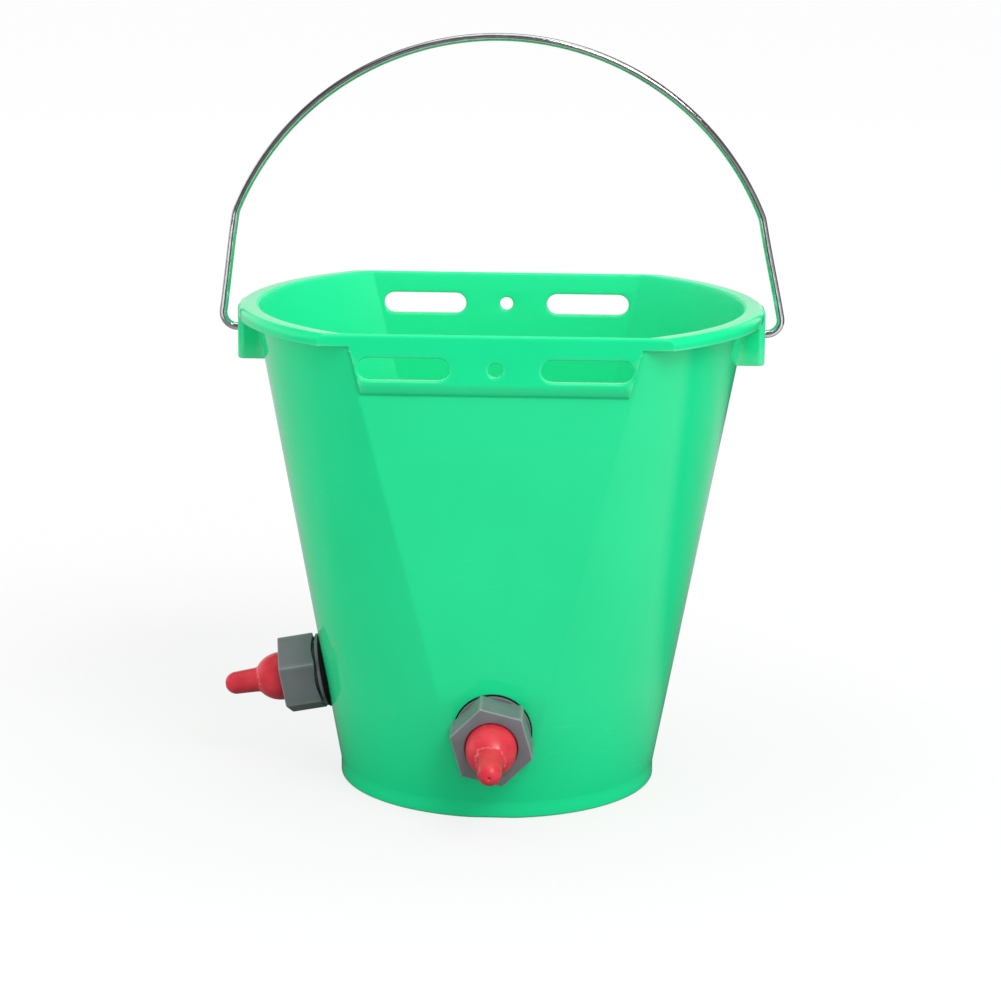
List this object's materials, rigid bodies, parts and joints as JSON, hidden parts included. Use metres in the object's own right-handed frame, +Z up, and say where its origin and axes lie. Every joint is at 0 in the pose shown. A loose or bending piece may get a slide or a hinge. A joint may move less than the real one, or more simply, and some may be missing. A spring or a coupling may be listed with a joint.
{
  "type": "multi teat lamb feeder",
  "caption": "Tapered bucket with flat hanging sides and a wire bail, fed through screw-in check valves with rubber teats low on its wall, for feeding lambs.",
  "frame": {"origin": "middle of the underside of the base, on the surface that the bucket stands on", "axes": "+Z up, the front flat and its teat face -Y, the other teat faces -X, the bail turns about X"},
  "size_m": [0.3244, 0.2705, 0.433],
  "materials": {
    "green_plastic": "glossy moulded",
    "grey_plastic": "satin moulded",
    "red_rubber": "smooth soft rubber",
    "black_rubber": "matt rubber",
    "white_plastic": "smooth moulded",
    "steel_wire": "bright zinc plated"
  },
  "bodies": {
    "bucket": {"bucket": "green_plastic", "front_valve_body": "grey_plastic", "front_gasket": "black_rubber", "front_washer": "black_rubber", "front_lock_nut": "grey_plastic", "front_ball_cage": "white_plastic", "left_valve_body": "grey_plastic", "left_gasket": "black_rubber", "left_washer": "black_rubber", "left_lock_nut": "grey_plastic", "left_ball_cage": "white_plastic"},
    "bail": {"bail": "steel_wire"},
    "front_teat": {"front_teat": "red_rubber"},
    "front_nut": {"front_cap_nut": "grey_plastic"},
    "front_ball": {"front_check_ball": "white_plastic"},
    "left_teat": {"left_teat": "red_rubber"},
    "left_nut": {"left_cap_nut": "grey_plastic"},
    "left_ball": {"left_check_ball": "white_plastic"}
  },
  "joints": [
    {"name": "bail_swing", "type": "hinge", "parent": "bucket", "child": "bail", "pos_m": [0, 0, 0.2638], "axis": [1, 0, 0], "range_deg": [-138, 138]},
    {"name": "front_teat_draw", "type": "slide", "parent": "bucket", "child": "front_teat", "axis": [0, -0.996, -0.0893], "range_m": [0, 0.012]},
    {"name": "front_nut_turn", "type": "hinge", "parent": "front_teat", "child": "front_nut", "pos_m": [0, -0.09432, 0.0523], "axis": [0, -0.996, -0.0893], "range_deg": [0, 1440]},
    {"name": "front_ball_lift", "type": "slide", "parent": "bucket", "child": "front_ball", "axis": [0, -0.996, -0.0893], "range_m": [-0.004, 0]},
    {"name": "left_teat_draw", "type": "slide", "parent": "bucket", "child": "left_teat", "axis": [-0.9838, 0, -0.1795], "range_m": [0, 0.012]},
    {"name": "left_nut_turn", "type": "hinge", "parent": "left_teat", "child": "left_nut", "pos_m": [-0.1014, 0, 0.0597], "axis": [-0.9838, 0, -0.1795], "range_deg": [0, 1440]},
    {"name": "left_ball_lift", "type": "slide", "parent": "bucket", "child": "left_ball", "axis": [-0.9838, 0, -0.1795], "range_m": [-0.004, 0]}
  ],
  "couplings": [
    {"joint": "front_teat_draw", "follows": "front_nut_turn", "m_per_rad": 0.0004774},
    {"joint": "left_teat_draw", "follows": "left_nut_turn", "m_per_rad": 0.0004774}
  ]
}
